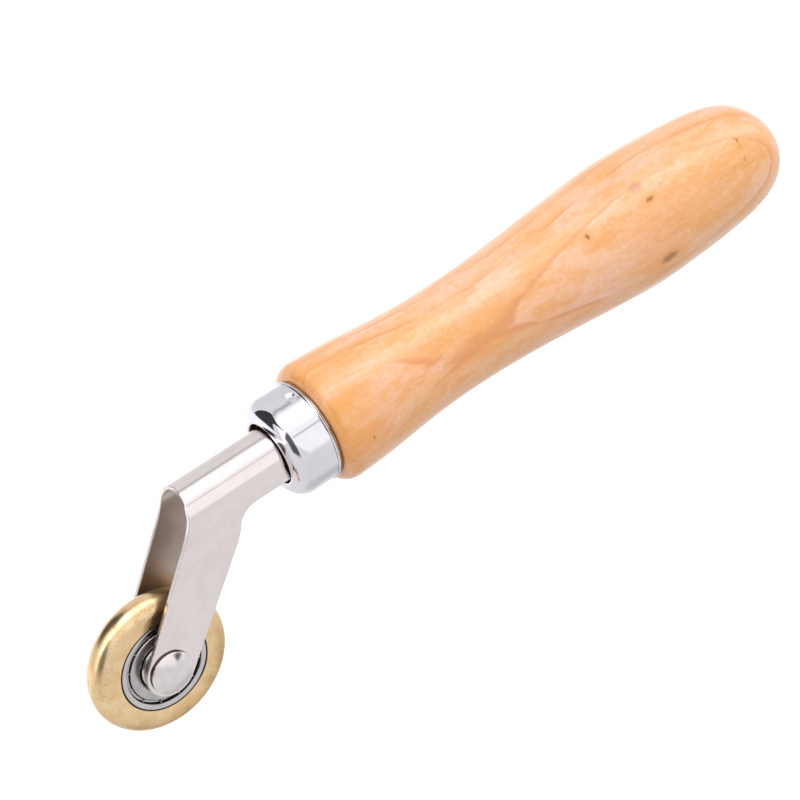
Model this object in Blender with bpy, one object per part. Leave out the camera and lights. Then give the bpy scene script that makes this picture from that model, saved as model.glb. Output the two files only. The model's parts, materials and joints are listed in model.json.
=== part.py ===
"""Hand roller: a brass wheel on a shielded ball bearing, in a sheet-metal fork with a turned wooden handle.

Metres, +Z up. The tool is built in its own frame and lies on its side: its frame is the empty
"tool_at_rest", whose origin is the wheel's centre, with x along the handle towards the butt,
y away from the wheel towards the handle's axis, and z along the axle towards the domed rivet head.
"""

import math

import bmesh
import bpy

# --- Wheel and axle, measured from the wheel's centre -------------------------------------------
RIM_CENTRE_R = 0.0120          # centre circle of the full-round rim
RIM_R = 0.0030                 # radius of the rim's rounding: the wheel is 30 mm across and 6 mm wide
WHEEL_BORE_R = 0.00965
PRESS_GAP = 0.00030            # clearance drawn between pieces that touch
HALF_WIDTH = 0.0030            # half the bearing's and the wheel's width

# --- Deep-groove ball bearing, 6 mm bore, 19 mm outside, 6 mm wide --------------------------------
BORE_R = 0.0030
OUTER_RING_R = 0.00935
PITCH_R = 0.00625
BALL_R = 0.00175
BALL_COUNT = 7
GROOVE_R = 0.00205             # both ball grooves, a ball's radius and a clearance
INNER_SHOULDER_R = 0.0049
OUTER_SHOULDER_R = 0.0075
SHIELD_SEAT_R = 0.00805
SHIELD_SEAT_Z = 0.0023
SHIELD_INNER_R = 0.0053
SHIELD_OUTER_R = 0.00775
SHIELD_LOW_Z = 0.0026
SHIELD_TOP_Z = 0.00285
EDGE_CHAMFER = 0.00025
CAGE_INNER_R = 0.00565
CAGE_OUTER_R = 0.00685
CAGE_SPLIT_Z = 0.00015         # half the slit between the two cage halves
CAGE_SHEET = 0.00030
CAGE_POCKET_R = 0.00205
CAGE_POCKET_STEPS = (0.35, 0.65, 0.88, 1.0)    # shares of a pocket's radius where the ribbon has a section

# --- Rivet and washers ----------------------------------------------------------------------------
RIVET_R = 0.0027
RIVET_HEAD_R = 0.00455
RIVET_HEAD_EDGE = 0.0005
RIVET_DOME = 0.0014
RIVET_TAIL_R = 0.0036
RIVET_TAIL_LENGTH = 0.0011
WASHER_R = 0.0045
WASHER_BORE_R = 0.0030

# --- Fork, one sheet folded into a channel --------------------------------------------------------
SHEET = 0.0009
FORK_HALF_WIDTH = 0.0055       # outside half-width, which is also the fold's outer radius
FOLD_AXIS_ABOVE_HANDLE = 0.0002
CHANNEL_EDGE_BELOW_HANDLE = 0.0035
EAR_END_R = 0.0053
EAR_HOLE_R = 0.0030
EAR_DIRECTION = (0.620, 0.785)     # from the axle up to the fold, in the tool's x and y
EAR_FRONT_TOP = (0.0133, 0.0267)
FOLD_FRONT = ((0.0142, 0.0299), (0.01495, 0.0317), (0.0153, 0.0340))
EAR_BACK_TOP = (0.0219, 0.0179)
CROOK_CENTRE = (0.0280, 0.0189)    # concave rounding between the ear's back edge and the shank
CROOK_R = 0.0049
CROOK_END_ANGLE = 168.0
TANG_END_X = 0.0740

# --- Ferrule ---------------------------------------------------------------------------------------
FERRULE_FRONT_X = 0.0360
FERRULE_REAR_X = 0.0455
FERRULE_R = 0.0105
FERRULE_SHOULDER_R = 0.0037    # rounding of the front edge, which ends at the hole
FERRULE_WALL = 0.0010
BEAD_R = 0.01070
BEAD_LENGTH = 0.0009
BEAD_STEP = 0.0001             # slope between the wall and the bead
STAKE_X = 0.0431               # punched mark that locks the ferrule to the wood
STAKE_ANGLE = 9.0
STAKE_TOOL_R = 0.0016
STAKE_DEPTH = 0.0005

# --- Handle, a turned solid about its own axis ------------------------------------------------------
HANDLE_AXIS_Y = 0.0273
SPIGOT_R = 0.0092
SPIGOT_FRONT_X = 0.0376
SPIGOT_EDGE_X = 0.0403         # centre and radius of the rounding inside the ferrule's shoulder
SPIGOT_EDGE_R = 0.0016
SPIGOT_EDGE_START = -60.0
HANDLE_BORE_R = 0.0068
HANDLE_BORE_END_X = 0.0760
HANDLE_FRONT_X = 0.0458
HANDLE_FRONT_EDGE = 0.0030
SHOULDER = (0.0500, 0.01285)       # where the handle's front and its belly meet the table: x, radius
BELLY = (0.1260, 0.01400)
GRIP = (
    (0.0580, 0.01240),
    (0.0660, 0.01165),
    (0.0760, 0.01105),
    (0.0880, 0.01115),
    (0.1000, 0.01187),
    (0.1120, 0.01293),
)
GRIP_REAR = (
    (0.1360, 0.01385),
    (0.1460, 0.01325),
    (0.1530, 0.01245),
    (0.1580, 0.01125),
    (0.1614, 0.00955),
    (0.1639, 0.00720),
    (0.1654, 0.00480),
    (0.1660, 0.00300),
)
GRIP_STEPS = 2                 # rings between two outline points of the grip

# --- Facets ------------------------------------------------------------------------------------------
HANDLE_SEGMENTS = 32
FERRULE_SEGMENTS = 36
WHEEL_SEGMENTS = 48
RING_SEGMENTS = 36
SMALL_SEGMENTS = 24
BALL_SEGMENTS = 10
BALL_RINGS = 6
SMOOTH_ANGLE = math.radians(35.0)


# --- Materials ---------------------------------------------------------------------------------------

def finish(name, colour, roughness, metallic):
    """A Principled material with one colour."""
    material = bpy.data.materials.new(name)
    material.use_nodes = True
    shader = material.node_tree.nodes["Principled BSDF"]
    shader.inputs["Base Color"].default_value = (*colour, 1.0)
    shader.inputs["Roughness"].default_value = roughness
    shader.inputs["Metallic"].default_value = metallic
    material.diffuse_color = (*colour, 1.0)
    return material


# --- Outlines ----------------------------------------------------------------------------------------

def arc(centre, radius, start, end, steps):
    """Points on a circular arc, its angles in degrees."""
    points = []
    for step in range(steps + 1):
        angle = math.radians(start + (end - start) * step / steps)
        points.append((centre[0] + radius * math.cos(angle), centre[1] + radius * math.sin(angle)))
    return points


def smooth_run(points, steps):
    """A Catmull-Rom curve through the points, with the given number of steps between two of them."""
    padded = [points[0], *points, points[-1]]
    run = []
    for before, start, end, after in zip(padded, padded[1:], padded[2:], padded[3:]):
        for step in range(steps):
            t = step / steps
            run.append(tuple(
                0.5 * (2 * b + (c - a) * t + (2 * a - 5 * b + 4 * c - d) * t ** 2
                       + (3 * b - a - 3 * c + d) * t ** 3)
                for a, b, c, d in zip(before, start, end, after)
            ))
    run.append(points[-1])
    return run


# --- Solids ------------------------------------------------------------------------------------------

def place(name, mesh, material, parent, location=(0.0, 0.0, 0.0), rotation=(0.0, 0.0, 0.0)):
    """Make one named part from a mesh and place it under its parent."""
    part = bpy.data.objects.new(name, mesh)
    bpy.context.scene.collection.objects.link(part)
    part.parent = parent
    part.location = location
    part.rotation_euler = rotation
    mesh.materials.append(material)
    mesh.shade_smooth()
    mesh.set_sharp_from_angle(angle=SMOOTH_ANGLE)
    return part


def finished_mesh(name, shape):
    """Weld a bmesh, face it outwards and turn it into a mesh."""
    bmesh.ops.remove_doubles(shape, verts=shape.verts, dist=1e-7)
    bmesh.ops.dissolve_degenerate(shape, edges=shape.edges, dist=1e-7)
    bmesh.ops.recalc_face_normals(shape, faces=shape.faces)
    mesh = bpy.data.meshes.new(name)
    shape.to_mesh(mesh)
    shape.free()
    return mesh


def turned(name, outline, segments, closed):
    """Spin an outline of (radius, height) points about the z axis."""
    shape = bmesh.new()
    points = [shape.verts.new((radius, 0.0, height)) for radius, height in outline]
    edges = [shape.edges.new(pair) for pair in zip(points, points[1:])]
    if closed:
        edges.append(shape.edges.new((points[-1], points[0])))
    bmesh.ops.spin(
        shape, geom=points + edges, cent=(0.0, 0.0, 0.0), axis=(0.0, 0.0, 1.0),
        angle=2.0 * math.pi, steps=segments, use_merge=True,
    )
    return finished_mesh(name, shape)


def prism(name, outline, low, high, corner):
    """Extrude a flat outline; corner turns an outline point and a height into a corner of the prism."""
    shape = bmesh.new()
    ring = [shape.verts.new(corner(point, low)) for point in outline]
    base = shape.faces.new(ring)
    top = bmesh.ops.extrude_face_region(shape, geom=[base])
    moved = [item for item in top["geom"] if isinstance(item, bmesh.types.BMVert)]
    shift = [end - start for start, end in zip(corner(outline[0], low), corner(outline[0], high))]
    bmesh.ops.translate(shape, verts=moved, vec=shift)
    return finished_mesh(name, shape)


def cutter(name, mesh, parent, location=(0.0, 0.0, 0.0)):
    """A hidden solid for a Boolean."""
    tool = bpy.data.objects.new(name, mesh)
    bpy.context.scene.collection.objects.link(tool)
    tool.parent = parent
    tool.location = location
    tool.hide_render = True
    tool.display_type = "WIRE"
    return tool


def boolean(part, tool, operation):
    """Add an exact Boolean to a part."""
    modifier = part.modifiers.new(tool.name, "BOOLEAN")
    modifier.solver = "EXACT"
    modifier.operation = operation
    modifier.object = tool


# --- Handle and ferrule ------------------------------------------------------------------------------

ALONG_HANDLE = (0.0, math.radians(90.0), 0.0)


def make_handle(root, wood):
    """The handle, with its spigot and the bore for the fork's tang; heights run along its axis."""
    spigot_centre = (SPIGOT_R - SPIGOT_EDGE_R, SPIGOT_EDGE_X)
    spigot = arc(spigot_centre, SPIGOT_EDGE_R, SPIGOT_EDGE_START, 0.0, 3)
    front_edge = arc(
        (SHOULDER[1] - HANDLE_FRONT_EDGE, HANDLE_FRONT_X + HANDLE_FRONT_EDGE),
        HANDLE_FRONT_EDGE, -90.0, 0.0, 4,
    )
    grip = smooth_run([SHOULDER, *GRIP, BELLY, *GRIP_REAR], GRIP_STEPS)
    outline = [(0.0, HANDLE_BORE_END_X), (HANDLE_BORE_R, HANDLE_BORE_END_X)]
    outline += [(HANDLE_BORE_R, SPIGOT_FRONT_X + PRESS_GAP)]
    outline += spigot
    outline += [(SPIGOT_R, HANDLE_FRONT_X)]
    outline += front_edge
    outline += [(radius, x) for x, radius in grip]
    outline += [(0.0, grip[-1][0])]
    mesh = turned("handle", outline, HANDLE_SEGMENTS, closed=False)
    return place("handle", mesh, wood, root, (0.0, HANDLE_AXIS_Y, 0.0), ALONG_HANDLE)


def make_ferrule(root, chrome):
    """The ferrule: a cup with a rounded front, a hole for the shank, a bead at the rear and a stake mark."""
    hole_r = FERRULE_R - FERRULE_SHOULDER_R
    shoulder_centre = (hole_r, FERRULE_FRONT_X + FERRULE_SHOULDER_R)
    bead_x = FERRULE_REAR_X - BEAD_LENGTH
    outline = arc(shoulder_centre, FERRULE_SHOULDER_R, -90.0, 0.0, 6)
    bead_centre = (BEAD_R - BEAD_LENGTH / 2, bead_x + BEAD_LENGTH / 2)
    outline += [(FERRULE_R, bead_x - BEAD_STEP)]
    outline += arc(bead_centre, BEAD_LENGTH / 2, -60.0, 90.0, 4)
    outline += [(FERRULE_R - FERRULE_WALL, FERRULE_REAR_X)]
    outline += arc(shoulder_centre, FERRULE_SHOULDER_R - FERRULE_WALL, 0.0, -90.0, 4)
    mesh = turned("ferrule", outline, FERRULE_SEGMENTS, closed=True)
    ferrule = place("ferrule", mesh, chrome, root, (0.0, HANDLE_AXIS_Y, 0.0), ALONG_HANDLE)

    angle = math.radians(STAKE_ANGLE)
    reach = FERRULE_R + STAKE_TOOL_R - STAKE_DEPTH
    shape = bmesh.new()
    bmesh.ops.create_uvsphere(shape, u_segments=14, v_segments=8, radius=STAKE_TOOL_R)
    punch = cutter(
        "stake_cutter", finished_mesh("stake_cutter", shape), root,
        (STAKE_X, HANDLE_AXIS_Y + reach * math.cos(angle), reach * math.sin(angle)),
    )
    boolean(ferrule, punch, "DIFFERENCE")
    return ferrule


# --- Fork --------------------------------------------------------------------------------------------

def channel_outline():
    """The folded sheet's section as (y, z) points: a half-round fold with two straight legs."""
    fold_y = HANDLE_AXIS_Y + FOLD_AXIS_ABOVE_HANDLE
    low_y = -2.0 * EAR_END_R
    inner_r = FORK_HALF_WIDTH - SHEET
    section = [(low_y, -FORK_HALF_WIDTH)]
    section += arc((fold_y, 0.0), FORK_HALF_WIDTH, -90.0, 90.0, 20)
    section += [(low_y, FORK_HALF_WIDTH), (low_y, inner_r)]
    section += arc((fold_y, 0.0), inner_r, 90.0, -90.0, 20)
    section += [(low_y, -inner_r)]
    return section


def side_outline():
    """The blank's outline seen along the axle: round ear end, ear edges, crook, shank and tang."""
    across = math.degrees(math.atan2(EAR_DIRECTION[0], -EAR_DIRECTION[1]))
    edge_y = HANDLE_AXIS_Y - CHANNEL_EDGE_BELOW_HANDLE
    top_y = HANDLE_AXIS_Y + 2.0 * FORK_HALF_WIDTH
    points = arc((0.0, 0.0), EAR_END_R, across, across + 180.0, 16)
    points += [EAR_BACK_TOP]
    points += arc(CROOK_CENTRE, CROOK_R, CROOK_END_ANGLE, 90.0, 6)
    points += [(TANG_END_X, edge_y), (TANG_END_X, top_y), (FOLD_FRONT[-1][0], top_y)]
    points += reversed(FOLD_FRONT)
    points += [EAR_FRONT_TOP]
    return points


def make_fork(root, steel):
    """The fork: the channel section run along the handle, trimmed to the blank's outline and drilled."""
    section = prism(
        "fork", channel_outline(), -2.0 * EAR_END_R, TANG_END_X + SHEET,
        lambda point, x: (x, point[0], point[1]),
    )
    fork = place("fork", section, steel, root)
    trim = prism(
        "fork_trim", side_outline(), -2.0 * FORK_HALF_WIDTH, 2.0 * FORK_HALF_WIDTH,
        lambda point, z: (point[0], point[1], z),
    )
    boolean(fork, cutter("fork_trim", trim, root), "INTERSECT")
    shape = bmesh.new()
    bmesh.ops.create_cone(
        shape, cap_ends=True, segments=SMALL_SEGMENTS, radius1=EAR_HOLE_R, radius2=EAR_HOLE_R,
        depth=4.0 * FORK_HALF_WIDTH,
    )
    boolean(fork, cutter("axle_drill", finished_mesh("axle_drill", shape), root), "DIFFERENCE")
    return fork


# --- Axle rivet and washers --------------------------------------------------------------------------

def make_rivet(root, steel):
    """The rivet: a peened tail, the shank through both ears, and a domed head with a short edge."""
    seat = FORK_HALF_WIDTH + PRESS_GAP
    dome_r = (RIVET_HEAD_R ** 2 + RIVET_DOME ** 2) / (2.0 * RIVET_DOME)
    rim = math.degrees(math.acos(RIVET_HEAD_R / dome_r))
    head_top = seat + RIVET_HEAD_EDGE
    dome = arc((0.0, head_top + RIVET_DOME - dome_r), dome_r, rim, 90.0, 6)
    tail_low = -seat - RIVET_TAIL_LENGTH
    corner = RIVET_TAIL_LENGTH / 2
    outline = [(0.0, tail_low)]
    outline += arc((RIVET_TAIL_R - corner, tail_low + corner), corner, -90.0, 0.0, 3)
    outline += [(RIVET_TAIL_R, -seat), (RIVET_R, -seat), (RIVET_R, seat), (RIVET_HEAD_R, seat)]
    outline += dome[:-1]
    outline += [(0.0, head_top + RIVET_DOME)]
    mesh = turned("axle_rivet", outline, SMALL_SEGMENTS, closed=False)
    return place("axle_rivet", mesh, steel, root)


def make_washers(root, steel):
    """Two spacers between the inner ring and the ears."""
    low = HALF_WIDTH + PRESS_GAP
    high = FORK_HALF_WIDTH - SHEET - PRESS_GAP
    outline = [(WASHER_BORE_R, low), (WASHER_R, low), (WASHER_R, high), (WASHER_BORE_R, high)]
    mesh = turned("spacer_washer", outline, SMALL_SEGMENTS, closed=True)
    place("spacer_washer_near", mesh, steel, root)
    place("spacer_washer_far", mesh, steel, root, rotation=(math.pi, 0.0, 0.0))


# --- Wheel and bearing -------------------------------------------------------------------------------

def make_wheel(root, brass):
    """The brass ring: flat sides and a full-round rim."""
    outline = [(WHEEL_BORE_R, -HALF_WIDTH)]
    outline += arc((RIM_CENTRE_R, 0.0), RIM_R, -90.0, 90.0, 8)
    outline += [(WHEEL_BORE_R, HALF_WIDTH)]
    mesh = turned("brass_wheel", outline, WHEEL_SEGMENTS, closed=True)
    return place("brass_wheel", mesh, brass, root)


def groove(shoulder_r, steps):
    """The ball groove between a ring's shoulders, from its lower to its upper edge."""
    rise = math.degrees(math.asin(abs(PITCH_R - shoulder_r) / GROOVE_R))
    if shoulder_r > PITCH_R:
        return arc((PITCH_R, 0.0), GROOVE_R, rise - 90.0, 90.0 - rise, steps)
    return arc((PITCH_R, 0.0), GROOVE_R, 270.0 - rise, 90.0 + rise, steps)


def make_inner_ring(root, steel):
    """The inner ring, with its ball groove outside."""
    top = HALF_WIDTH
    bevel = EDGE_CHAMFER
    track = groove(INNER_SHOULDER_R, 6)
    outline = [(BORE_R, -top), (INNER_SHOULDER_R - bevel, -top), (INNER_SHOULDER_R, bevel - top)]
    outline += track
    outline += [(INNER_SHOULDER_R, top - bevel), (INNER_SHOULDER_R - bevel, top), (BORE_R, top)]
    mesh = turned("bearing_inner_ring", outline, SMALL_SEGMENTS, closed=True)
    return place("bearing_inner_ring", mesh, steel, root)


def make_outer_ring(root, steel):
    """The outer ring, with its ball groove inside and a step for a shield at each end."""
    top = HALF_WIDTH
    bevel = EDGE_CHAMFER
    low_side = [
        (OUTER_SHOULDER_R, -SHIELD_SEAT_Z),
        (SHIELD_SEAT_R, -SHIELD_SEAT_Z),
        (SHIELD_SEAT_R, -top),
        (OUTER_RING_R - bevel, -top),
        (OUTER_RING_R, bevel - top),
    ]
    high_side = [(radius, -height) for radius, height in reversed(low_side)]
    outline = low_side + high_side + list(reversed(groove(OUTER_SHOULDER_R, 6)))
    mesh = turned("bearing_outer_ring", outline, RING_SEGMENTS, closed=True)
    return place("bearing_outer_ring", mesh, steel, root)


def make_shields(root, steel):
    """Two thin pressed covers that turn with the outer ring and clear the inner one."""
    lip = SHIELD_TOP_Z - SHIELD_LOW_Z
    outline = [
        (SHIELD_INNER_R, SHIELD_LOW_Z - lip),
        (SHIELD_INNER_R + lip, SHIELD_LOW_Z - lip),
        (SHIELD_INNER_R + lip, SHIELD_LOW_Z),
        (SHIELD_OUTER_R, SHIELD_LOW_Z),
        (SHIELD_OUTER_R, SHIELD_TOP_Z),
        (SHIELD_INNER_R, SHIELD_TOP_Z),
    ]
    mesh = turned("bearing_shield", outline, RING_SEGMENTS, closed=True)
    place("bearing_shield_near", mesh, steel, root)
    place("bearing_shield_far", mesh, steel, root, rotation=(math.pi, 0.0, 0.0))


def cage_stations():
    """Distances along the pitch circle from a ball's centre to halfway to the next, both ways."""
    half_pitch = math.pi * PITCH_R / BALL_COUNT
    side = [share * CAGE_POCKET_R for share in CAGE_POCKET_STEPS]
    side += [CAGE_POCKET_R + CAGE_SHEET]
    return [-distance for distance in reversed(side)] + [0.0] + side + [half_pitch]


def cage_height(distance, pocket_r, flat):
    """Height of a cage face: a round pocket over the ball, and a flat web between two balls."""
    return max(flat, math.sqrt(max(0.0, pocket_r ** 2 - distance ** 2)))


def make_cage(root, steel):
    """Two pressed ribbons that hold the balls apart."""
    shape = bmesh.new()
    rings = []
    for ball in range(BALL_COUNT):
        for distance in cage_stations():
            angle = 2.0 * math.pi * ball / BALL_COUNT + distance / PITCH_R
            low = cage_height(distance, CAGE_POCKET_R, CAGE_SPLIT_Z)
            high = cage_height(distance, CAGE_POCKET_R + CAGE_SHEET, CAGE_SPLIT_Z + CAGE_SHEET)
            corners = (
                (CAGE_INNER_R, low), (CAGE_OUTER_R, low), (CAGE_OUTER_R, high), (CAGE_INNER_R, high)
            )
            rings.append([
                shape.verts.new((radius * math.cos(angle), radius * math.sin(angle), height))
                for radius, height in corners
            ])
    for ring, following in zip(rings, rings[1:] + rings[:1]):
        for side in range(4):
            after = (side + 1) % 4
            shape.faces.new((ring[side], ring[after], following[after], following[side]))
    mesh = finished_mesh("cage_half", shape)
    place("cage_half_near", mesh, steel, root)
    place("cage_half_far", mesh, steel, root, rotation=(math.pi, 0.0, 0.0))


def make_balls(root, steel):
    """The balls, each with its origin at its own centre."""
    shape = bmesh.new()
    bmesh.ops.create_uvsphere(shape, u_segments=BALL_SEGMENTS, v_segments=BALL_RINGS, radius=BALL_R)
    mesh = finished_mesh("bearing_ball", shape)
    for ball in range(BALL_COUNT):
        angle = 2.0 * math.pi * ball / BALL_COUNT
        centre = (PITCH_R * math.cos(angle), PITCH_R * math.sin(angle), 0.0)
        place("bearing_ball_%d" % (ball + 1), mesh, steel, root, centre, (0.0, 0.0, angle))


# --- The tool at rest ----------------------------------------------------------------------------------

def rest_angles():
    """Pitch and roll of the tool lying on its handle's shoulder, its belly and the rivet's tail."""
    pitch = math.atan2(BELLY[1] - SHOULDER[1], BELLY[0] - SHOULDER[0])
    support_at_axle = SHOULDER[1] - SHOULDER[0] * math.tan(pitch)
    sideways = HANDLE_AXIS_Y + RIVET_TAIL_R - RIVET_TAIL_LENGTH / 2
    down = FORK_HALF_WIDTH + PRESS_GAP + RIVET_TAIL_LENGTH
    roll = math.asin(support_at_axle / math.hypot(sideways, down)) - math.atan2(down, sideways)
    return pitch, roll


def stand_on_origin(root):
    """Move the tool so that the bottom centre of its box is the origin."""
    bpy.context.view_layer.update()
    depsgraph = bpy.context.evaluated_depsgraph_get()
    corners = []
    for part in bpy.context.scene.objects:
        if part.type == "MESH" and not part.hide_render:
            mesh = part.evaluated_get(depsgraph).data
            corners += [part.matrix_world @ vertex.co for vertex in mesh.vertices]
    low = [min(corner[axis] for corner in corners) for axis in range(3)]
    high = [max(corner[axis] for corner in corners) for axis in range(3)]
    root.location.x -= (low[0] + high[0]) / 2
    root.location.y -= (low[1] + high[1]) / 2
    root.location.z -= low[2]
    bpy.context.view_layer.update()


def main():
    for old in list(bpy.data.objects):
        bpy.data.objects.remove(old, do_unlink=True)

    wood = finish("lacquered_wood", (0.78, 0.50, 0.27), 0.28, 0.0)
    chrome = finish("ferrule_chrome", (0.80, 0.80, 0.82), 0.08, 1.0)
    nickel = finish("fork_nickel", (0.72, 0.69, 0.67), 0.30, 1.0)
    rivet_steel = finish("rivet_steel", (0.70, 0.68, 0.67), 0.22, 1.0)
    brass = finish("wheel_brass", (0.78, 0.58, 0.28), 0.26, 1.0)
    bearing_steel = finish("bearing_steel", (0.62, 0.62, 0.66), 0.20, 1.0)
    pressed_steel = finish("pressed_steel", (0.50, 0.50, 0.50), 0.35, 1.0)

    root = bpy.data.objects.new("tool_at_rest", None)
    bpy.context.scene.collection.objects.link(root)
    pitch, roll = rest_angles()
    root.rotation_euler = (roll, -pitch, 0.0)

    make_handle(root, wood)
    make_ferrule(root, chrome)
    make_fork(root, nickel)
    make_rivet(root, rivet_steel)
    make_washers(root, rivet_steel)
    make_wheel(root, brass)
    make_inner_ring(root, bearing_steel)
    make_outer_ring(root, bearing_steel)
    make_shields(root, pressed_steel)
    make_cage(root, pressed_steel)
    make_balls(root, bearing_steel)
    stand_on_origin(root)


main()
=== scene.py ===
import json
import math

import bmesh
import bpy
import numpy as np
from mathutils import Euler, Matrix, Vector, noise


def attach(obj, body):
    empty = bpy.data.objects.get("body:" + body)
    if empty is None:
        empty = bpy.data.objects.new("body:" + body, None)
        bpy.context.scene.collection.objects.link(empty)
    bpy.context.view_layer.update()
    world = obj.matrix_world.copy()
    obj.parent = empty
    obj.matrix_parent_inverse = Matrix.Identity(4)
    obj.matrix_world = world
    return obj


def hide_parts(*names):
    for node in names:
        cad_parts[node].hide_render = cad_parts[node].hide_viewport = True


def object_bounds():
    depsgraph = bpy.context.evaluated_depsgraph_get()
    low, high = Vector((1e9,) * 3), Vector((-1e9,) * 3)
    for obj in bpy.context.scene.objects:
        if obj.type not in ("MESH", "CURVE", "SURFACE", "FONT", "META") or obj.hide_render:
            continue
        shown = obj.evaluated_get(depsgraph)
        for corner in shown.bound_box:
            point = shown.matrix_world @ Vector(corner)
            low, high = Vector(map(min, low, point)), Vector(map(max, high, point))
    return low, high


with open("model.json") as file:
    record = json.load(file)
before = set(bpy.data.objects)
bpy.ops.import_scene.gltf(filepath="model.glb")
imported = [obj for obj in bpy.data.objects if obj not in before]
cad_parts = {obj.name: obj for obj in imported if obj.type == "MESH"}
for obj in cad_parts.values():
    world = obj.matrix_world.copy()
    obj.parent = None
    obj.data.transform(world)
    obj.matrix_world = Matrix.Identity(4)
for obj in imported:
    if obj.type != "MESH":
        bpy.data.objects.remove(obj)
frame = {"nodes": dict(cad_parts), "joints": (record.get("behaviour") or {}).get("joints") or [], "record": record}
CAD_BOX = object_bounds()

# Looks of the hand roller. Every piece is made in the tool's own frame, in metres: the origin is the
# wheel's centre, x runs along the handle to the butt, y from the wheel to the handle's axis, and z
# along the axle to the rivet's dome. TOOL places that frame where the CAD model has it.

# --- The tool's frame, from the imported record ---


def tool_frame():
    """The tool's frame in the row frame, from the wheel's joint and the butt's mount."""
    spin = next(joint for joint in frame["joints"] if joint["name"] == "wheel_spin")
    butt = next(mount for mount in frame["record"]["mounts"] if mount["name"] == "butt_end")
    z = Vector(spin["axis"]).normalized()
    y = z.cross(Vector(butt["axis"])).normalized()
    x = y.cross(z)
    placed = Matrix((x, y, z)).transposed().to_4x4()
    placed.translation = Vector(spin["pos_m"])
    return placed, placed.inverted() @ Vector(butt["pos_m"])


TOOL, BUTT = tool_frame()
HANDLE_Y = BUTT.y


def cad_points(node):
    """A CAD node's corners in the tool's frame, as an array."""
    mesh = frame["nodes"][node].data
    flat = np.empty(len(mesh.vertices) * 3, np.float32)
    mesh.vertices.foreach_get("co", flat)
    back = np.array(TOOL.inverted())
    return flat.reshape(-1, 3) @ back[:3, :3].T + back[:3, 3]


def cad_top(node):
    """Highest x, y and z of a CAD node in the tool's frame."""
    return cad_points(node).max(axis=0).tolist()


# --- Sizes ---
WHEEL_R, _, HALF_WIDTH = cad_top("brass_wheel")
WHEEL_BORE_R = float(np.hypot(*cad_points("brass_wheel")[:, :2].T).min())
SEAT_R = 0.5 * (WHEEL_BORE_R + cad_top("bearing_outer_ring")[0])
SEAM = 0.00003                 # half the visible seam between two pressed pieces
CORNER = 0.00022               # rounding of the inner ring's corners
RACE_CORNER = 0.00028          # and of the outer ring's
WHEEL_CHAMFER = 0.00020
RING_INSET = 0.00004           # the rings' faces lie this far below the wheel's
GROOVE_R = 0.0019
PITCH_R = 0.00625
BALL_R = 0.00175
BALL_COUNT = 7
INNER_SHOULDER_R = 0.0049
OUTER_SHOULDER_R = 0.0075
BORE_R = 0.0030
SHIELD_SEAT_R = 0.0083
SHIELD_SEAT_DEPTH = 0.00100
SHIELD_INNER_R = 0.0053
SHIELD_CRIMP_R = 0.00755       # the shield's crimped rim starts here
SHIELD_SHEET = 0.00025
SHIELD_TOP = 0.0028
SHIELD_STEP = 0.00055          # how far the crimped rim lies below the shield's face
SHIELD_GAP = 0.00005
CRIMP_TABS = 12
TAB_HALF = 0.00020
TAB_LIFT = 0.00046
TAB_EDGE = 0.00006
TAB_TURN = 0.15                # where the first slit is, in radians
CAGE_INNER_R = 0.00565
CAGE_OUTER_R = 0.00685
CAGE_SHEET = 0.0003
CAGE_SPLIT = 0.00015
CAGE_PLAY = 0.0003             # between a ball and its pocket

FORK_HALF = cad_top("fork")[2]
SHEET = 0.0009
SHEET_CORNER = 0.00017
EDGE_STEPS = 5                 # faces across each rounding of the sheet's edge
FOLD_Y = HANDLE_Y + 0.0002
SHANK_EDGE_Y = HANDLE_Y - 0.0035
TANG_X = cad_top("fork")[0]
EAR_R = 0.0053
EAR_LEAN = math.atan2(0.785, 0.620)    # direction from the axle up to the fold
EAR_FRONT_TOP = (0.0133, 0.0267)
EAR_LEAD = 0.0045              # how far down the ear from that corner its rounding starts
FOLD_FRONT = ((0.0142, 0.0299), (0.01495, 0.0317), (0.0153, 0.0335))
EAR_BACK_TOP = (0.0219, 0.0179)
CROOK = (0.0280, 0.0189)
CROOK_R = 0.0049
CROOK_START = 168.0            # degrees

RIVET_HEAD_R = 0.00455
RIVET_EDGE = 0.0005
RIVET_DOME = 0.0014
RIVET_WALL = 0.00054           # upright edge of the head, below the dome
RIVET_R = 0.0029
RIVET_TAIL_R = 0.0036
RIVET_TAIL = 0.0014
RIVET_TAIL_EDGE = 0.0006
RIVET_DIMPLE_R = 0.0011        # hollow left by the riveting tool in the tail
RIVET_DIMPLE = 0.0003
WASHER_R = 0.0045

FERRULE_FRONT = float(cad_points("ferrule")[:, 0].min())
FERRULE_REAR = cad_top("ferrule")[0]
FERRULE_R = 0.0105
FERRULE_SHOULDER = 0.0037
FERRULE_WALL = 0.0010
LIP = 0.00026                  # rounding of the punched hole's edge
LIP_ROLL = 0.0002              # the edge is rolled inwards by this much
BEAD_LIFT = 0.00030
BEAD = 0.0009
BEAD_TAPER = 0.00012
STAKE_X = 0.0431
STAKE_ANGLE = math.radians(9.0)
STAKE_R = 0.00085
STAKE_DEPTH = 0.00045
FERRULE_WAVE = 0.000008        # unevenness of the drawn cup

SPIGOT_R = 0.0094
SPIGOT_X = 0.0376
SPIGOT_EDGE = 0.0016
SPIGOT_EDGE_X = 0.0403         # centre of the spigot's front rounding
BORE_WOOD_R = 0.0068
BORE_WOOD_END = 0.0760
BORE_LEAD = 0.0004
BUTT_SLANT = 0.0005            # the butt was sanded a little out of square,
BUTT_SLANT_ANGLE = math.radians(-38.0)    # more on this side,
BUTT_SLANT_LENGTH = 0.016      # over this length,
BUTT_SLANT_R = 0.009           # and by that much at this radius
HAND_TURNED = 0.00004          # unevenness left by sanding and lacquer


# --- Making pieces ---

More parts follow.
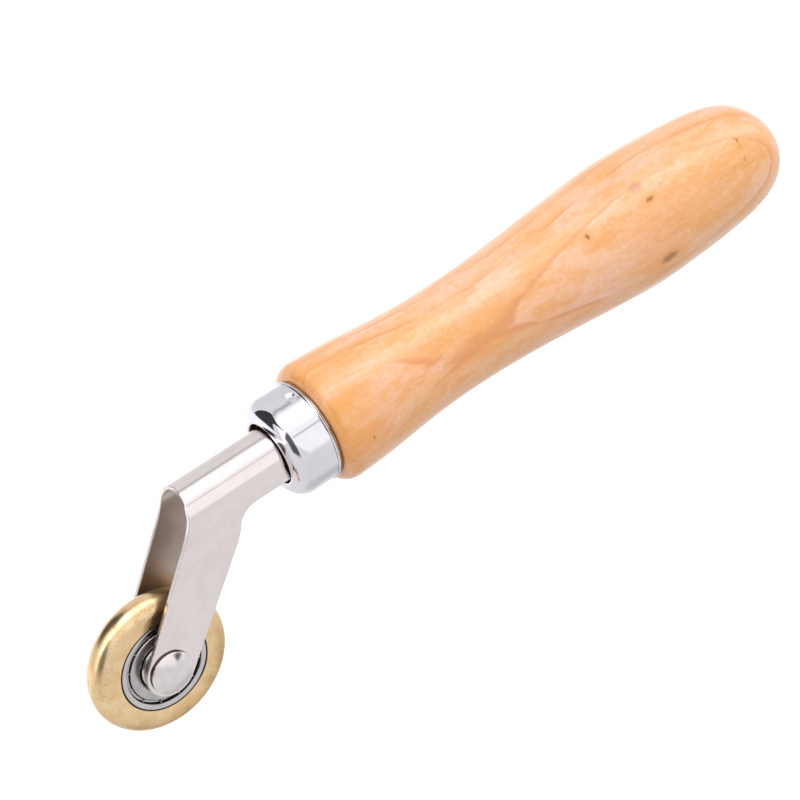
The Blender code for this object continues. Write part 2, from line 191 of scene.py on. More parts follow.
def arc(centre, radius, start, end, steps):
    """Points on a circle, its angles in degrees."""
    turns = np.radians(np.linspace(start, end, steps + 1))
    return [(centre[0] + radius * math.cos(t), centre[1] + radius * math.sin(t)) for t in turns]


def bent(start, corner, end, t):
    """A point of the curve that rounds a corner, t from 0 to 1."""
    return tuple((1 - t) ** 2 * start + 2 * t * (1 - t) * corner + t ** 2 * end)


def rounded(outline, radius, steps=4, closed=True):
    """The same outline with its corners rounded; a short side gets a smaller rounding."""
    points = [Vector(point) for point in outline]
    count = len(points)
    made = []
    for index, corner in enumerate(points):
        if not closed and index in (0, count - 1):
            made.append(tuple(corner))
            continue
        before = points[index - 1] - corner
        after = points[(index + 1) % count] - corner
        cut = min(radius, 0.45 * before.length, 0.45 * after.length)
        start = corner + before.normalized() * cut
        end = corner + after.normalized() * cut
        made += [bent(start, corner, end, step / steps) for step in range(steps + 1)]
    return made


def smooth_line(points, steps):
    """A Catmull-Rom curve through the points."""
    before = 2 * np.array(points[0]) - points[1]
    after = 2 * np.array(points[-1]) - points[-2]
    knots = np.array([before, *points, after])
    line = []
    for a, b, c, d in zip(knots, knots[1:], knots[2:], knots[3:]):
        for t in np.arange(steps) / steps:
            line.append(0.5 * (2 * b + (c - a) * t + (2 * a - 5 * b + 4 * c - d) * t ** 2
                               + (3 * b - a - 3 * c + d) * t ** 3))
    line.append(knots[-2])
    return [tuple(point) for point in line]


def about_axle(radius, height, turn):
    """A point at this radius from the axle, this far towards the rivet's dome."""
    return radius * math.cos(turn), radius * math.sin(turn), height


def about_handle(radius, height, turn):
    """A point at this radius from the handle's axis, this far along the tool."""
    return height, HANDLE_Y + radius * math.cos(turn), radius * math.sin(turn)


def turned(outline, segments, point, closed=True, shape=None):
    """Spin (radius, height) points; shape(radius, height, turn) may move a corner first."""
    made = bmesh.new()
    rings = []
    for radius, height in outline:
        if radius < 1e-9:
            rings.append([made.verts.new(point(0.0, height, 0.0))])
            continue
        ring = []
        for step in range(segments):
            turn = 2.0 * math.pi * step / segments
            place = shape(radius, height, turn) if shape else (radius, height)
            ring.append(made.verts.new(point(*place, turn)))
        rings.append(ring)
    pairs = list(zip(rings, rings[1:]))
    if closed:
        pairs.append((rings[-1], rings[0]))
    for low, high in pairs:
        for step in range(segments):
            after = (step + 1) % segments
            corners = [low[step % len(low)], low[after % len(low)],
                       high[after % len(high)], high[step % len(high)]]
            unique = list(dict.fromkeys(corners))
            if len(unique) > 2:
                made.faces.new(unique)
    return made


def mesh_from(name, made):
    """A mesh from a bmesh, which is then freed."""
    mesh = bpy.data.meshes.new(name)
    made.to_mesh(mesh)
    made.free()
    return mesh


def linked(name, data):
    """A new object in the scene for a mesh or a camera."""
    shown = bpy.data.objects.new(name, data)
    bpy.context.scene.collection.objects.link(shown)
    return shown


def piece(name, made, material, body, replaces, sharp=38.0, weigh=True):
    """Turn a bmesh into a shown piece that rides on its body and stands for CAD nodes."""
    bmesh.ops.recalc_face_normals(made, faces=made.faces)
    mesh = mesh_from(name, made)
    mesh.transform(TOOL)
    mesh.shade_smooth()
    if sharp:
        mesh.set_sharp_from_angle(angle=math.radians(sharp))
    mesh.materials.append(material)
    shown = linked(name, mesh)
    if weigh:
        weights = shown.modifiers.new("even_shading", "WEIGHTED_NORMAL")
        weights.keep_sharp = True
    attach(shown, body)
    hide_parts(*replaces)
    return shown


# --- Material building ---

class Look:
    """A node tree with short ways to add nodes; lengths are in metres."""

    def __init__(self, tree):
        self.tree = tree
        self.point = None

    def add(self, kind, **settings):
        node = self.tree.nodes.new(kind)
        for key, value in settings.items():
            setattr(node, key, value)
        return node

    def put(self, socket, value):
        if isinstance(value, bpy.types.NodeSocket):
            self.tree.links.new(value, socket)
        else:
            socket.default_value = value

    def maths(self, operation, first, second=0.0):
        node = self.add("ShaderNodeMath", operation=operation)
        self.put(node.inputs[0], first)
        self.put(node.inputs[1], second)
        return node.outputs[0]

    def vector(self, operation, first, second):
        node = self.add("ShaderNodeVectorMath", operation=operation)
        self.put(node.inputs[0], first)
        self.put(node.inputs[1], second)
        return node.outputs["Value" if operation in ("DOT_PRODUCT", "LENGTH") else "Vector"]

    def times(self, product, *others):
        """Several values multiplied."""
        for value in others:
            product = self.maths("MULTIPLY", product, value)
        return product

    def length(self, vector):
        return self.vector("LENGTH", vector, (0.0, 0.0, 0.0))

    def axes(self, vector):
        """A vector's x, y and z."""
        parts = self.add("ShaderNodeSeparateXYZ")
        self.put(parts.inputs[0], vector)
        return parts.outputs

    def place(self, stretch=(1.0, 1.0, 1.0), shift=(0.0, 0.0, 0.0)):
        """A point in the tool's frame, stretched and shifted for a pattern."""
        if self.point is None:
            back = TOOL.inverted()
            node = self.add("ShaderNodeMapping")
            self.put(node.inputs["Vector"], self.add("ShaderNodeTexCoord").outputs["Object"])
            node.inputs["Location"].default_value = back.translation
            node.inputs["Rotation"].default_value = back.to_euler("XYZ")
            self.point = node.outputs[0]
        node = self.add("ShaderNodeVectorMath", operation="MULTIPLY_ADD")
        self.put(node.inputs[0], self.point)
        self.put(node.inputs[1], stretch)
        self.put(node.inputs[2], shift)
        return node.outputs["Vector"]

    def noise(self, vector, size, detail=2.0, roughness=0.5):
        """Noise with features about size across."""
        node = self.add("ShaderNodeTexNoise")
        self.put(node.inputs["Vector"], vector)
        node.inputs["Scale"].default_value = 1.0 / size
        node.inputs["Detail"].default_value = detail
        node.inputs["Roughness"].default_value = roughness
        return node.outputs[0]

    def span(self, value, low, high, to_low=0.0, to_high=1.0, smooth=True):
        """Map low to high onto to_low to to_high, clamped."""
        node = self.add("ShaderNodeMapRange")
        node.interpolation_type = "SMOOTHSTEP" if smooth else "LINEAR"
        self.put(node.inputs["Value"], value)
        ends = {"From Min": low, "From Max": high, "To Min": to_low, "To Max": to_high}
        for name, number in ends.items():
            node.inputs[name].default_value = number
        return node.outputs[0]

    def band(self, value, low, high, soft):
        """1 between low and high, 0 outside, with soft edges."""
        rise = self.span(value, low - soft, low + soft)
        fall = self.span(value, high - soft, high + soft, 1.0, 0.0)
        return self.times(rise, fall)

    def mix(self, share, first, second):
        node = self.add("ShaderNodeMix", data_type="RGBA")
        self.put(node.inputs[0], share)
        self.put(node.inputs[6], first)
        self.put(node.inputs[7], second)
        return node.outputs[2]

    def cover(self, socket, share, value):
        """Lay a colour or a number over what a socket has now."""
        under = socket.links[0].from_socket
        if socket.type == "RGBA":
            self.put(socket, self.mix(share, under, value))
        else:
            clear = self.times(under, self.maths("SUBTRACT", 1.0, share))
            self.put(socket, self.maths("ADD", clear, self.times(share, value)))

    def bump(self, height, depth, below=None):
        node = self.add("ShaderNodeBump")
        node.inputs["Strength"].default_value = 1.0
        node.inputs["Distance"].default_value = depth
        self.put(node.inputs["Height"], height)
        if below is not None:
            self.put(node.inputs["Normal"], below)
        return node.outputs[0]


def new_look(name):
    """A material, its Look and its shader."""
    material = bpy.data.materials.new(name)
    material.use_nodes = True
    look = Look(material.node_tree)
    return material, look, material.node_tree.nodes["Principled BSDF"]


def rgb(red, green, blue):
    return red, green, blue, 1.0


# --- Wood ---
# Pin knots: distance along the tool, angle from y towards z, radius, stretch along the grain, depth.
# The last three are on the far side.
KNOTS = (
    (0.1268, 29.8, 0.0016, 1.6, 0.45),
    (0.1276, 45.4, 0.0008, 1.8, 0.90),
    (0.1119, 42.6, 0.0008, 1.1, 1.00),
    (0.1269, 99.8, 0.0016, 2.0, 0.85),
    (0.1527, 41.7, 0.0007, 1.0, 0.95),
    (0.0521, 91.4, 0.0005, 1.0, 0.85),
    (0.0960, 205.0, 0.0009, 1.5, 0.90),
    (0.1330, 262.0, 0.0011, 1.8, 0.95),
    (0.0700, 310.0, 0.0007, 1.2, 0.80),
)
KNOT_WAVES = 1100.0            # waves per metre in a knot's outline, and their height
KNOT_WAVE = (0.0016, 0.0013, 0.0013)
CHECK_X = 0.15240              # a hairline check across the grain, beside the rearmost knot
CHECK_HALF = 0.00010
CHECK_ANGLES = (0.74, 1.16)
CHECK_SWING = 0.0006
PITH = (-0.0115, -0.0315)      # the tree's centre from the handle's axis, in y and z
RING_PITCH = 0.0034
RING_AT = 0.0464               # one growth ring's distance from the pith, with its waves, at RING_X
RING_X = 0.060
RING_SLOPE = 0.002             # the pith isn't quite parallel to the handle
RING_SWAY = 0.0026             # heights of the rings' long and short waves
RING_RIPPLE = 0.0009


def handle_outline():
    """The grip's outline from the CAD handle, front to butt, as (radius, x)."""
    points = cad_points("handle")
    radius = np.hypot(points[:, 1] - HANDLE_Y, points[:, 2])
    grip = (points[:, 0] > FERRULE_REAR) & (radius > SPIGOT_R * 0.3)
    pairs = zip(points[grip, 0], radius[grip])
    flat = sorted({(round(float(x), 6), round(float(r), 6)) for x, r in pairs})
    merged = []
    for x, r in flat:
        if r <= BORE_WOOD_R + 1e-5 and x < BORE_WOOD_END + 1e-5:
            continue
        if not merged or x - merged[-1][1] > 2e-5 or abs(r - merged[-1][0]) > 2e-5:
            merged.append((r, x))
    return [point for point in merged if point[0] > SPIGOT_R - 1e-4 or point[1] > BORE_WOOD_END]


PALE_WOOD = rgb(0.84, 0.555, 0.41)
PINK_WOOD = rgb(0.81, 0.485, 0.33)
PEACH_WOOD = rgb(0.79, 0.43, 0.195)
AMBER_WOOD = rgb(0.76, 0.330, 0.070)
LATE_WOOD = rgb(0.62, 0.215, 0.075)
KNOT_WOOD = rgb(0.30, 0.095, 0.014)
DARK_WOOD = rgb(0.12, 0.048, 0.020)


def grained(look, along, size, detail, roughness=0.5, shift=(0.0, 0.0, 0.0)):
    """Noise whose features are drawn out along the handle; along is 1 for none, less for more."""
    return look.noise(look.place((along, 1.0, 1.0), shift), size, detail, roughness)


def growth_rings(look, x, y, z):
    """Masks for each growth ring's late wood, and for the line where it ends."""
    sway = look.times(grained(look, 0.35, 0.016, 2.0), RING_SWAY)
    ripple = look.times(grained(look, 0.30, 0.0035, 3.0, 0.6, (0.02, 0.0, 0.0)), RING_RIPPLE)
    across = look.maths("SUBTRACT", y, PITH[0])
    deep = look.maths("SUBTRACT", z, PITH[1])
    from_pith = look.maths("SQRT", look.maths("ADD", look.times(across, across), look.times(deep, deep)))
    lean = look.times(look.maths("SUBTRACT", x, RING_X), RING_SLOPE)
    depth = look.maths("SUBTRACT", look.maths("ADD", from_pith, look.maths("ADD", sway, ripple)), lean)
    share = look.maths("FRACT", look.maths("DIVIDE", look.maths("SUBTRACT", depth, RING_AT), RING_PITCH))
    late = look.times(look.span(share, 0.40, 0.93), look.span(share, 0.94, 1.0, 1.0, 0.0))
    line = look.times(look.span(share, 0.84, 0.95), look.span(share, 0.955, 1.0, 1.0, 0.0))
    return late, line


def knots(look, outline, here):
    """Masks for the pin knots' dark hearts and their brown surrounds."""
    wobble = look.add("ShaderNodeTexNoise")
    look.put(wobble.inputs["Vector"], here)
    wobble.inputs["Scale"].default_value = KNOT_WAVES
    shifted = look.vector("SUBTRACT", wobble.outputs["Color"], (0.5, 0.5, 0.5))
    shaken = look.vector("ADD", here, look.vector("MULTIPLY", shifted, KNOT_WAVE))
    radii = np.array([radius for radius, _ in outline])
    spots = np.array([x for _, x in outline])
    hearts = halos = 0.0
    for along, angle, size, stretch, depth in KNOTS:
        radius = float(np.interp(along, spots, radii))
        turn = math.radians(angle)
        centre = (along, radius * math.cos(turn), radius * math.sin(turn))
        off = look.vector("MULTIPLY", look.vector("SUBTRACT", shaken, centre), (1.0 / stretch, 1.0, 1.0))
        away = look.length(off)
        hearts = look.maths("MAXIMUM", hearts, look.span(away, 0.25 * size, 0.95 * size, depth, 0.0))
        halos = look.maths("MAXIMUM", halos, look.span(away, 0.4 * size, 2.8 * size, 0.80 * depth, 0.0))
    return hearts, halos


def hairline_check(look, x, y, z):
    """A mask for the thin curved check near the butt."""
    turn = look.maths("ARCTAN2", z, y)
    swing = look.times(look.maths("SINE", look.times(turn, 6.0)), CHECK_SWING)
    jagged = look.times(look.noise(look.place(), 0.0012, 3.0), 0.0007)
    place = look.maths("ADD", look.maths("ADD", x, swing), jagged)
    across = look.band(place, CHECK_X - CHECK_HALF, CHECK_X + CHECK_HALF, 0.00012)
    along = look.band(turn, *CHECK_ANGLES, 0.07)
    broken = look.span(look.noise(look.place(), 0.0009, 2.0), 0.38, 0.52)
    return look.times(across, along, broken)


def wood_colour(look, outline, fibre, pores):
    """The wood's colour: layers laid over each other, each a mask and a tint."""
    here = look.place(shift=(0.0, -HANDLE_Y, 0.0))
    x, y, z = look.axes(here)
    late, line = growth_rings(look, x, y, z)
    flame = grained(look, 0.34, 0.0040, 5.0, 0.66, (0.1, 0.2, 0.0))
    cloud = grained(look, 0.5, 0.014, 3.0, 0.55, (0.05, 0.0, 0.07))
    fleck = grained(look, 0.8, 0.0012, 4.0, 0.75, (0.0, 0.3, 0.0))
    speck = grained(look, 0.8, 0.00035, 2.0, 0.6)
    front = look.span(x, 0.0455, 0.061, 0.80, 0.0)
    ends = look.maths("ADD", front, look.span(x, 0.146, 0.166, 0.0, 0.26))
    patchy = look.span(grained(look, 0.5, 0.007, 2.0, shift=(0.2, 0.0, 0.1)), 0.36, 0.60, 0.15, 1.0)
    hearts, halos = knots(look, outline, here)
    radius = look.length(look.vector("MULTIPLY", here, (0.0, 1.0, 1.0)))
    # Painted shade: a dark line on the wood where it meets the ferrule's rear.
    joint = look.times(look.band(x, 0.0450, 0.0458, 0.0002), look.span(radius, 0.0104, 0.0109, 1.0, 0.0))
    layers = (
        (look.times(look.span(flame, 0.43, 0.64), 0.74), AMBER_WOOD),
        (look.span(fleck, 0.50, 0.70, 0.0, 0.50), AMBER_WOOD),
        (look.span(fleck, 0.30, 0.48, 0.50, 0.0), PALE_WOOD),
        (look.times(ends, look.span(flame, 0.30, 0.60, 0.55, 1.15)), AMBER_WOOD),
        (look.times(late, patchy, 0.62), AMBER_WOOD),
        (look.times(line, patchy, 0.55), LATE_WOOD),
        (look.span(fibre, 0.34, 0.74, 0.0, 0.20), LATE_WOOD),
        (look.span(speck, 0.54, 0.76, 0.0, 0.32), LATE_WOOD),
        (look.times(pores, 0.14), DARK_WOOD),
        (halos, AMBER_WOOD),
        (look.maths("MAXIMUM", hearts, look.times(hairline_check(look, x, y, z), 0.70)), KNOT_WOOD),
        # the painted shade at the ferrule's rear
        (look.times(joint, 0.92), DARK_WOOD),
    )
    colour = look.mix(look.span(cloud, 0.36, 0.64), PINK_WOOD, PEACH_WOOD)
    for share, tint in layers:
        colour = look.mix(share, colour, tint)
    return colour


def wood_look(outline):
    """Pale peach hardwood under clear lacquer, which has an unevenness of its own."""
    material, look, shader = new_look("lacquered_wood")
    fibre = grained(look, 0.10, 0.00055, 4.0, 0.65)
    pores = look.span(grained(look, 0.10, 0.00030, 2.0, 0.6), 0.62, 0.72)
    look.put(shader.inputs["Base Color"], wood_colour(look, outline, fibre, pores))
    look.put(shader.inputs["Roughness"], look.span(fibre, 0.3, 0.7, 0.42, 0.58))
    shader.inputs["Coat Weight"].default_value = 1.0
    shader.inputs["Coat Roughness"].default_value = 0.17
    shader.inputs["Coat IOR"].default_value = 1.52
    shader.inputs["Specular IOR Level"].default_value = 0.35
    grain = look.bump(look.maths("SUBTRACT", fibre, look.times(pores, 0.8)), 0.00003)
    look.put(shader.inputs["Normal"], grain)
    skin = look.bump(grained(look, 0.6, 0.0030, 3.0, 0.6), 0.00010)
    skin = look.bump(grained(look, 0.35, 0.0008, 3.0, 0.6), 0.000035, skin)
    look.put(shader.inputs["Coat Normal"], skin)
    return material


# --- Metals ---

# Near-black painted shade, laid in seams, creases and grooves where shade falls.
CREASE_SHADE = rgb(0.050, 0.043, 0.040)
# Each metal's colour where it is clean, and where it is tarnished.
CHROME = rgb(0.80, 0.79, 0.84), rgb(0.74, 0.73, 0.79)
NICKEL = rgb(0.83, 0.775, 0.765), rgb(0.78, 0.715, 0.715)
BRASS = rgb(0.89, 0.685, 0.420), rgb(0.79, 0.535, 0.275)
RIVET_STEEL = rgb(0.80, 0.755, 0.755), rgb(0.72, 0.675, 0.675)
GROUND_STEEL = rgb(0.64, 0.615, 0.635), rgb(0.56, 0.54, 0.55)
PRESSED_STEEL = rgb(0.56, 0.55, 0.55), rgb(0.44, 0.43, 0.43)
# Painted shade and light for the fork's inner faces: a shaded and a lit tint.
NICKEL_SHADE_AND_LIGHT = rgb(0.41, 0.34, 0.295), rgb(0.68, 0.61, 0.575)    # inside the fork, dark and light
DULL_BRASS = rgb(0.57, 0.365, 0.165)
BRASS_SPECK = rgb(0.36, 0.21, 0.085)
# Dark lines painted along the fold's outside: painted reflections of the studio's seams.
REFLECTION_LINE_TINT = rgb(0.30, 0.28, 0.28)
REFLECTION_LINES = ((-0.00330, 0.78), (-0.00010, 0.25), (0.00262, 0.60))    # z of each and its strength


def metal_look(name, tints, roughness, stretch, scratch, mottle):
    """Metal with worn, uneven gloss; stretch sets which way its fine marks run."""
    material, look, shader = new_look(name)
    shader.inputs["Metallic"].default_value = 1.0
    patches = look.noise(look.place(), mottle, 4.0, 0.6)
    marks = look.noise(look.place(stretch), 0.00018, 3.0, 0.65)
    broad = look.noise(look.place(stretch, (0.11, 0.0, 0.0)), 0.0012, 3.0, 0.6)
    look.put(shader.inputs["Base Color"], look.mix(look.span(patches, 0.32, 0.72), *tints))
    gloss = look.maths("ADD", look.span(patches, 0.35, 0.70, roughness[0], roughness[1], smooth=False),
                       look.span(broad, 0.35, 0.75, 0.0, 0.35 * (roughness[1] - roughness[0])))
    look.put(shader.inputs["Roughness"], gloss)
    surface = look.bump(marks, scratch)
    surface = look.bump(broad, 2.0 * scratch, surface)
    look.put(shader.inputs["Normal"], surface)
    return material, look, shader


def turned_metal_look(name, tints, roughness, pitch, depth, seams):
    """Metal turned on a lathe about the axle, with fine tool marks and painted shade in its seams.

    Each seam is (radius, half its width, height from the wheel's middle above which it has no painted shade).
    """
    material, look, shader = new_look(name)
    shader.inputs["Metallic"].default_value = 1.0
    x, y, z = look.axes(look.place())
    radius = look.maths("SQRT", look.maths("ADD", look.times(x, x), look.times(y, y)))
    ring = look.add("ShaderNodeCombineXYZ")
    look.put(ring.inputs[0], radius)
    look.put(ring.inputs[1], z)
    lines = look.noise(ring.outputs[0], pitch, 4.0, 0.7)
    patches = look.noise(look.place(), 0.0030, 5.0, 0.65)
    grit = look.noise(look.place(), 0.00022, 2.0)
    shade = look.maths("ADD", look.times(patches, 0.7), look.times(lines, 0.3))
    colour = look.mix(look.span(shade, 0.36, 0.66), *tints)
    for middle, half, shade_top in seams:
        # Painted shade: each seam is darkened up to the height where its shade ends.
        seam_shade = look.band(radius, middle - half, middle + half, 0.4 * half)
        low = look.span(look.maths("ABSOLUTE", z), shade_top - 0.00012, shade_top + 0.00004, 1.0, 0.0)
        colour = look.mix(look.times(seam_shade, low), colour, CREASE_SHADE)
    look.put(shader.inputs["Base Color"], colour)
    look.put(shader.inputs["Roughness"], look.span(patches, 0.30, 0.72, *roughness, smooth=False))
    surface = look.bump(lines, depth)
    surface = look.bump(grit, 0.5 * depth, surface)
    look.put(shader.inputs["Normal"], surface)
    return material, look, shader


def ferrule_look():
    """Chrome, with painted shade in the corner in front of the rear bead."""
    material, look, shader = metal_look(
        "ferrule_chrome", CHROME, (0.035, 0.075), (1.0, 1.0, 1.0), 0.0000006, 0.0060)
    corner = FERRULE_REAR - BEAD
    # Painted shade along the corner before the bead, uneven along it.
    corner_shade = look.band(look.axes(look.place())[0], corner - 0.00003, corner + 0.00007, 0.00005)
    uneven = look.span(look.noise(look.place(), 0.0030, 2.0), 0.35, 0.60, 0.25, 0.90)
    look.cover(shader.inputs["Base Color"], look.times(corner_shade, uneven), CREASE_SHADE)
    return material


def fork_look():
    """Nickel with fine marks along it: dull inner faces darkened with painted shade and lighter towards the fold's
    top, and painted reflection lines on the fold.
    """
    material, look, shader = metal_look(
        "fork_nickel", NICKEL, (0.085, 0.150), (0.10, 1.0, 1.0), 0.0000016, 0.0050)
    _, y, z = look.axes(look.place())
    above = look.maths("MAXIMUM", look.maths("SUBTRACT", y, FOLD_Y), 0.0)
    depth = look.maths("SQRT", look.maths("ADD", look.times(above, above), look.times(z, z)))
    inner = look.span(depth, FORK_HALF - 0.90 * SHEET, FORK_HALF - 0.70 * SHEET, 1.0, 0.0)
    # Painted shade inside the fork, lit in patches and towards the fold's top.
    light = look.span(look.noise(look.place((0.5, 0.4, 1.0)), 0.006, 2.0), 0.36, 0.62)
    light = look.maths("MAXIMUM", look.times(light, 0.55), look.span(y, FOLD_Y - 0.0045, FOLD_Y + 0.002))
    look.cover(shader.inputs["Base Color"], inner, look.mix(light, *NICKEL_SHADE_AND_LIGHT))
    look.cover(shader.inputs["Roughness"], inner, 0.36)
    on_fold = look.times(look.span(y, FOLD_Y, FOLD_Y + 0.001), look.maths("SUBTRACT", 1.0, inner))
    # Painted reflections: thin dark lines along the fold.
    for middle, share in REFLECTION_LINES:
        mark = look.band(z, middle - 0.00006, middle + 0.00006, 0.00009)
        look.cover(shader.inputs["Base Color"], look.times(mark, on_fold, share), REFLECTION_LINE_TINT)
    return material


def rivet_look():
    """Plated steel, darkened in the crease under the domed head with painted shade and some grime."""
    material, look, shader = metal_look(
        "rivet_steel", RIVET_STEEL, (0.13, 0.21), (1.0, 1.0, 1.0), 0.0000022, 0.0020)
    radius = look.length(look.place((1.0, 1.0, 0.0)))
    height = look.axes(look.place())[2]
    # Painted shade, with some grime, on the upright wall of the head.
    crease = look.times(
        look.span(radius, RIVET_HEAD_R - 0.00025, RIVET_HEAD_R - 0.00009),
        look.band(height, FORK_HALF - 0.0001, FORK_HALF + RIVET_WALL - 0.00012, 0.00010))
    look.cover(shader.inputs["Base Color"], crease, CREASE_SHADE)
    return material


def brass_look():
    """Turned brass, darker and more orange on one side and specked in patches, both more towards the tread."""
    # The seam where the bearing sits gets painted shade.
    material, look, shader = turned_metal_look(
        "wheel_brass", BRASS, (0.22, 0.34), 0.00016, 0.0000026, ((SEAT_R, 0.00018, HALF_WIDTH + 0.001),))
    radius = look.length(look.place((1.0, 1.0, 0.0)))
    specks = look.span(look.noise(look.place(shift=(0.3, 0.0, 0.0)), 0.00042, 3.0, 0.65), 0.54, 0.66)
    worn = look.span(look.noise(look.place(shift=(0.0, 0.2, 0.0)), 0.0052, 3.0, 0.6), 0.44, 0.62)
    tread = look.span(radius, WHEEL_R - 0.0054, WHEEL_R - 0.0018)
    side = look.span(look.vector("DOT_PRODUCT", look.place(), (0.34, -0.94, 0.0)), -0.002, 0.012)
    dull = look.times(side, tread, look.span(worn, 0.0, 1.0, 0.50, 0.95))
    look.cover(shader.inputs["Base Color"], dull, DULL_BRASS)
    look.cover(shader.inputs["Base Color"], look.times(specks, worn, tread, 0.55), BRASS_SPECK)
    return material


# --- Handle ---

def make_handle():
    outline = handle_outline()
    grip = smooth_line(outline, 5)
    start, end = grip[0][1], grip[-1][1]
    bore = [(BORE_WOOD_R, BORE_WOOD_END), (BORE_WOOD_R, SPIGOT_X + BORE_LEAD)]
    spigot = arc((SPIGOT_R - SPIGOT_EDGE, SPIGOT_EDGE_X), SPIGOT_EDGE, -60.0, 0.0, 4)
    whole = [(0.0, BORE_WOOD_END), *bore, *spigot, (SPIGOT_R, start), *grip]
    whole += [(grip[-1][0] * share, end) for share in (0.8, 0.5, 0.2, 0.0)]
    slant_from = end - BUTT_SLANT_LENGTH

    def uneven(radius, height, turn):
        if height < start or radius < SPIGOT_R and height < BORE_WOOD_END + 1e-4:
            return radius, height
        spot = Vector((height * 45.0, math.cos(turn) * 0.8, math.sin(turn) * 0.8))
        fine = Vector((height * 160.0, math.cos(turn) * 2.4, math.sin(turn) * 2.4))
        lift = noise.noise(spot) + 0.35 * noise.noise(fine)
        share = min(1.0, radius / SPIGOT_R) * min(1.0, (height - start) / 0.003)
        slope = max(0.0, (height - slant_from) / (end - slant_from)) ** 2
        lean = -BUTT_SLANT * slope * radius / BUTT_SLANT_R * math.cos(turn - BUTT_SLANT_ANGLE)
        return radius + HAND_TURNED * lift * share, height + lean

    made = turned(whole, 224, about_handle, closed=False, shape=uneven)
    piece("wooden_handle", made, wood_look(outline), "handle_and_fork", ["handle"],
          sharp=50.0, weigh=False)


# --- Ferrule ---

def make_ferrule():
    hole_r = FERRULE_R - FERRULE_SHOULDER
    centre = (hole_r, FERRULE_FRONT + FERRULE_SHOULDER)
    bead_start = FERRULE_REAR - BEAD
    outer = arc(centre, FERRULE_SHOULDER, -90.0, 0.0, 36)
    outer += [(FERRULE_R, x) for x in np.linspace(outer[-1][1], bead_start, 34)[1:]]
    for t in np.arange(1, 13) / 12:
        lift = BEAD_LIFT * math.sin(math.pi * min(1.0, t * 1.25)) - BEAD_TAPER * t
        outer.append((FERRULE_R + lift, bead_start + BEAD * t))
    inner_r = FERRULE_R - FERRULE_WALL
    inner = [(inner_r, FERRULE_REAR), (inner_r, centre[1])]
    inner += arc(centre, FERRULE_SHOULDER - FERRULE_WALL, 0.0, -84.0, 12)[1:]
    lip_r = hole_r - LIP_ROLL
    back = FERRULE_FRONT + FERRULE_WALL
    lip = [(lip_r + LIP, back), (lip_r, back - LIP)]
    lip += arc((lip_r + LIP, FERRULE_FRONT + LIP), LIP, 180.0, 262.0, 5)

    def staked(radius, height, turn):
        if radius < FERRULE_R - 0.0002:
            return radius, height
        across = (turn - STAKE_ANGLE + math.pi) % (2.0 * math.pi) - math.pi
        away = math.hypot(across * FERRULE_R, height - STAKE_X) / STAKE_R
        pit = math.exp(-away ** 4)
        rim = math.exp(-((away - 1.25) / 0.28) ** 2)
        wave = noise.noise(Vector((height * 220.0, math.cos(turn) * 2.3, math.sin(turn) * 2.3)))
        return radius - STAKE_DEPTH * (pit - 0.10 * rim) + FERRULE_WAVE * wave, height

    made = turned(outer + inner + lip, 448, about_handle, shape=staked)
    piece("chrome_ferrule", made, ferrule_look(), "handle_and_fork", ["ferrule"],
          weigh=False)


# --- Fork ---

MID_R = FORK_HALF - SHEET / 2
FOLD_HALF = MID_R * math.pi / 2    # along the sheet from the fold's top to where a leg starts


def unfold(y):
    """Distance from the fold's top, along the sheet, of a height y on a leg or on the fold."""
    if y <= FOLD_Y:
        return FOLD_HALF + FOLD_Y - y
    return MID_R * math.acos(min(1.0, (y - FOLD_Y) / MID_R))


def folded(across, x, lift):
    """A point of the folded sheet, and the way out of its surface there."""
    side = 1.0 if across >= 0 else -1.0
    reach = abs(across)
    radius = MID_R + lift
    if reach <= FOLD_HALF:
        turn = reach / MID_R
        out = Vector((0.0, math.cos(turn), side * math.sin(turn)))
        return Vector((x, FOLD_Y, 0.0)) + radius * out, out
    return Vector((x, FOLD_Y - (reach - FOLD_HALF), side * radius)), Vector((0.0, 0.0, side))


def leg_outline():
    """One leg's half of the flat blank, from the fold's front, round the ear, to the tang's end."""
    lean = math.degrees(EAR_LEAN)
    ear_edge = Vector((-math.sin(EAR_LEAN), math.cos(EAR_LEAN))) * EAR_R
    corner = Vector(EAR_FRONT_TOP)
    lead = corner + (ear_edge - corner).normalized() * EAR_LEAD
    after = corner + (Vector(FOLD_FRONT[0]) - corner) * 0.75
    front = [bent(lead, corner, after, t) for t in np.linspace(0.0, 1.0, 12)]
    front += smooth_line([front[-1], *FOLD_FRONT], 8)[1:]
    points = [(x, y) for x, y in reversed(front) if y < FOLD_Y + MID_R * 0.985]
    points += arc((0.0, 0.0), EAR_R, lean + 90.0, lean + 270.0, 56)
    points += [EAR_BACK_TOP, *arc(CROOK, CROOK_R, CROOK_START, 90.0, 42), (TANG_X, SHANK_EDGE_Y)]
    line = [(0.0, front[-1][0])] + [(unfold(y), x) for x, y in points]
    return line + [(FOLD_HALF * share, TANG_X) for share in np.linspace(1.0, 0.0, 29)]


def fork_loop():
    """The whole blank's outline as a closed loop of (distance across, x)."""
    near = leg_outline()
    far = [(-across, x) for across, x in reversed(near[1:-1])]
    loop = []
    for point in near + far:
        if not loop or math.hypot(point[0] - loop[-1][0], point[1] - loop[-1][1]) > 2e-5:
            loop.append(point)
    return loop


